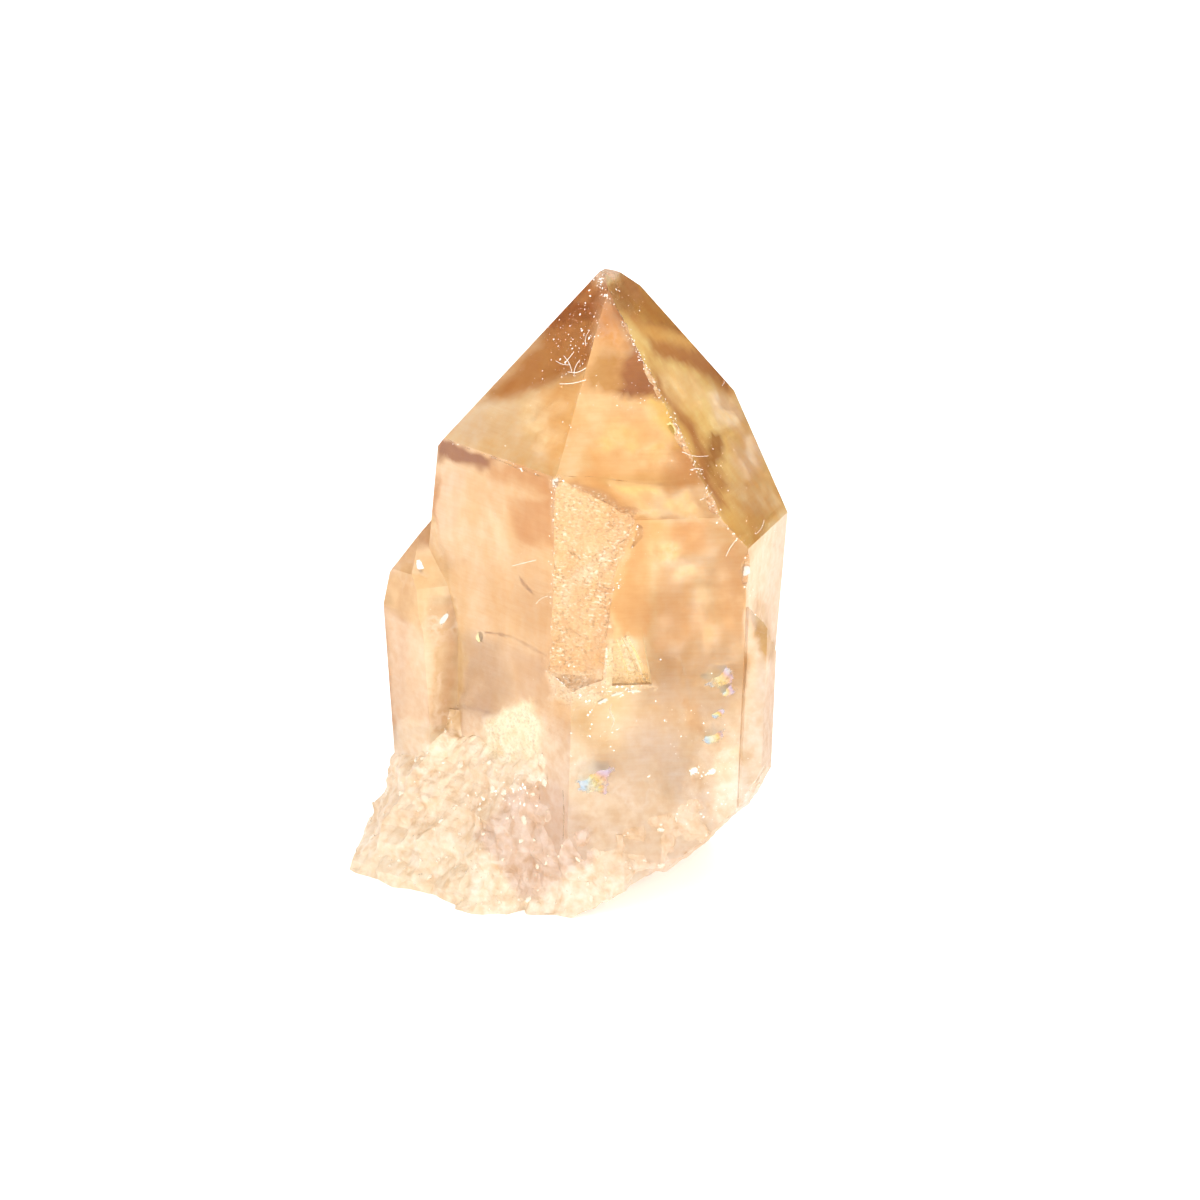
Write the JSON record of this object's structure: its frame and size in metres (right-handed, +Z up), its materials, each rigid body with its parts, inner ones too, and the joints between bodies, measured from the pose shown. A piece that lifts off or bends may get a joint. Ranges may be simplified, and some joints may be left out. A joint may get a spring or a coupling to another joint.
{
  "type": "citrine crystal point",
  "caption": "Natural citrine quartz point with a six-sided tip, side crystals and a broken milky base that it stands on.",
  "frame": {"origin": "where the main crystal's long axis meets the resting plane, on the flat cut of the base", "axes": "+Z up the main crystal's long axis to the tip, -Y to the front, +X to the right seen from the front"},
  "size_m": [0.033, 0.0252, 0.0471],
  "materials": {
    "citrine": "clear golden quartz, milky and crumbly at the base"
  },
  "bodies": {
    "root": {"citrine_crystal": "citrine"}
  },
  "joints": []
}
